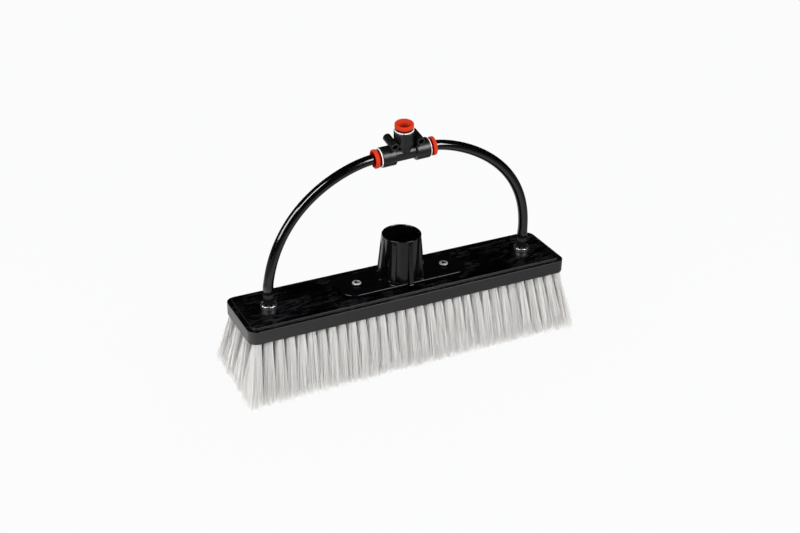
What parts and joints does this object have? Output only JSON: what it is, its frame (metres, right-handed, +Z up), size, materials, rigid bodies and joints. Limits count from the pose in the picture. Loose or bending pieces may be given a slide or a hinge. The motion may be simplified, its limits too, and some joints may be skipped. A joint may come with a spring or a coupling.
{
  "type": "water-fed window cleaning brush head",
  "caption": "Long brush head with stiff pale bristles, a ribbed pole socket, two water jets and a hoop of hose with a push-fit tee.",
  "frame": {"origin": "middle of the plane that the bristle tips stand on, midway between the two jets", "axes": "+X along the block towards its right end, -Y towards the front, +Z up from the bristle tips to the pole socket and the tee"},
  "size_m": [0.3088, 0.088, 0.2137],
  "materials": {
    "block": "gloss",
    "socket": "gloss",
    "screw_steel": "satin",
    "retainer_steel": "gloss",
    "jet_plastic": "satin",
    "hose": "gloss",
    "tee_plastic": "satin",
    "collet_acetal": "satin",
    "port_ring": "satin",
    "grab_steel": "satin",
    "seal_rubber": "matte",
    "bristle_nylon": "satin"
  },
  "bodies": {
    "brush": {"brush_block": "block", "pole_socket": "socket", "socket_screw_left": "screw_steel", "socket_screw_right": "screw_steel", "jet_stem_left": "jet_plastic", "jet_stem_right": "jet_plastic", "jet_retainer_left": "retainer_steel", "jet_retainer_right": "retainer_steel", "bristle_row_1": "bristle_nylon", "bristle_row_2": "bristle_nylon", "bristle_row_3": "bristle_nylon", "bristle_row_4": "bristle_nylon", "bristle_row_5": "bristle_nylon", "bristle_row_6": "bristle_nylon", "bristle_row_7": "bristle_nylon"},
    "hoop": {"hose_left": "hose", "hose_right": "hose"},
    "tee": {"tee_body": "tee_plastic", "port_ring_left": "port_ring", "grab_ring_left": "grab_steel", "seal_left": "seal_rubber", "port_ring_right": "port_ring", "grab_ring_right": "grab_steel", "seal_right": "seal_rubber", "port_ring_inlet": "port_ring", "grab_ring_inlet": "grab_steel", "seal_inlet": "seal_rubber"},
    "left_release_collet": {"collet_left": "collet_acetal"},
    "right_release_collet": {"collet_right": "collet_acetal"},
    "inlet_release_collet": {"collet_inlet": "collet_acetal"}
  },
  "joints": [
    {"name": "hoop_sway", "type": "hinge", "parent": "brush", "child": "hoop", "pos_m": [0, 0, 0.0823], "axis": [1, 0, 0], "range_deg": [-25, 25], "stiffness_Nm_per_rad": 0.4, "deforming": ["hose_left", "hose_right"]},
    {"name": "tee_swivel", "type": "hinge", "parent": "hoop", "child": "tee", "pos_m": [0.0007, 0, 0.1851], "axis": [0.9967, -0.0435, 0.068], "continuous": true},
    {"name": "left_collet_release", "type": "slide", "parent": "tee", "child": "left_release_collet", "axis": [0.9967, -0.0435, 0.068], "range_m": [0, 0.0012]},
    {"name": "right_collet_release", "type": "slide", "parent": "tee", "child": "right_release_collet", "axis": [-0.9967, 0.0435, -0.068], "range_m": [0, 0.0012]},
    {"name": "inlet_collet_release", "type": "slide", "parent": "tee", "child": "inlet_release_collet", "axis": [0.0734, 0.1361, -0.988], "range_m": [0, 0.0012]}
  ]
}
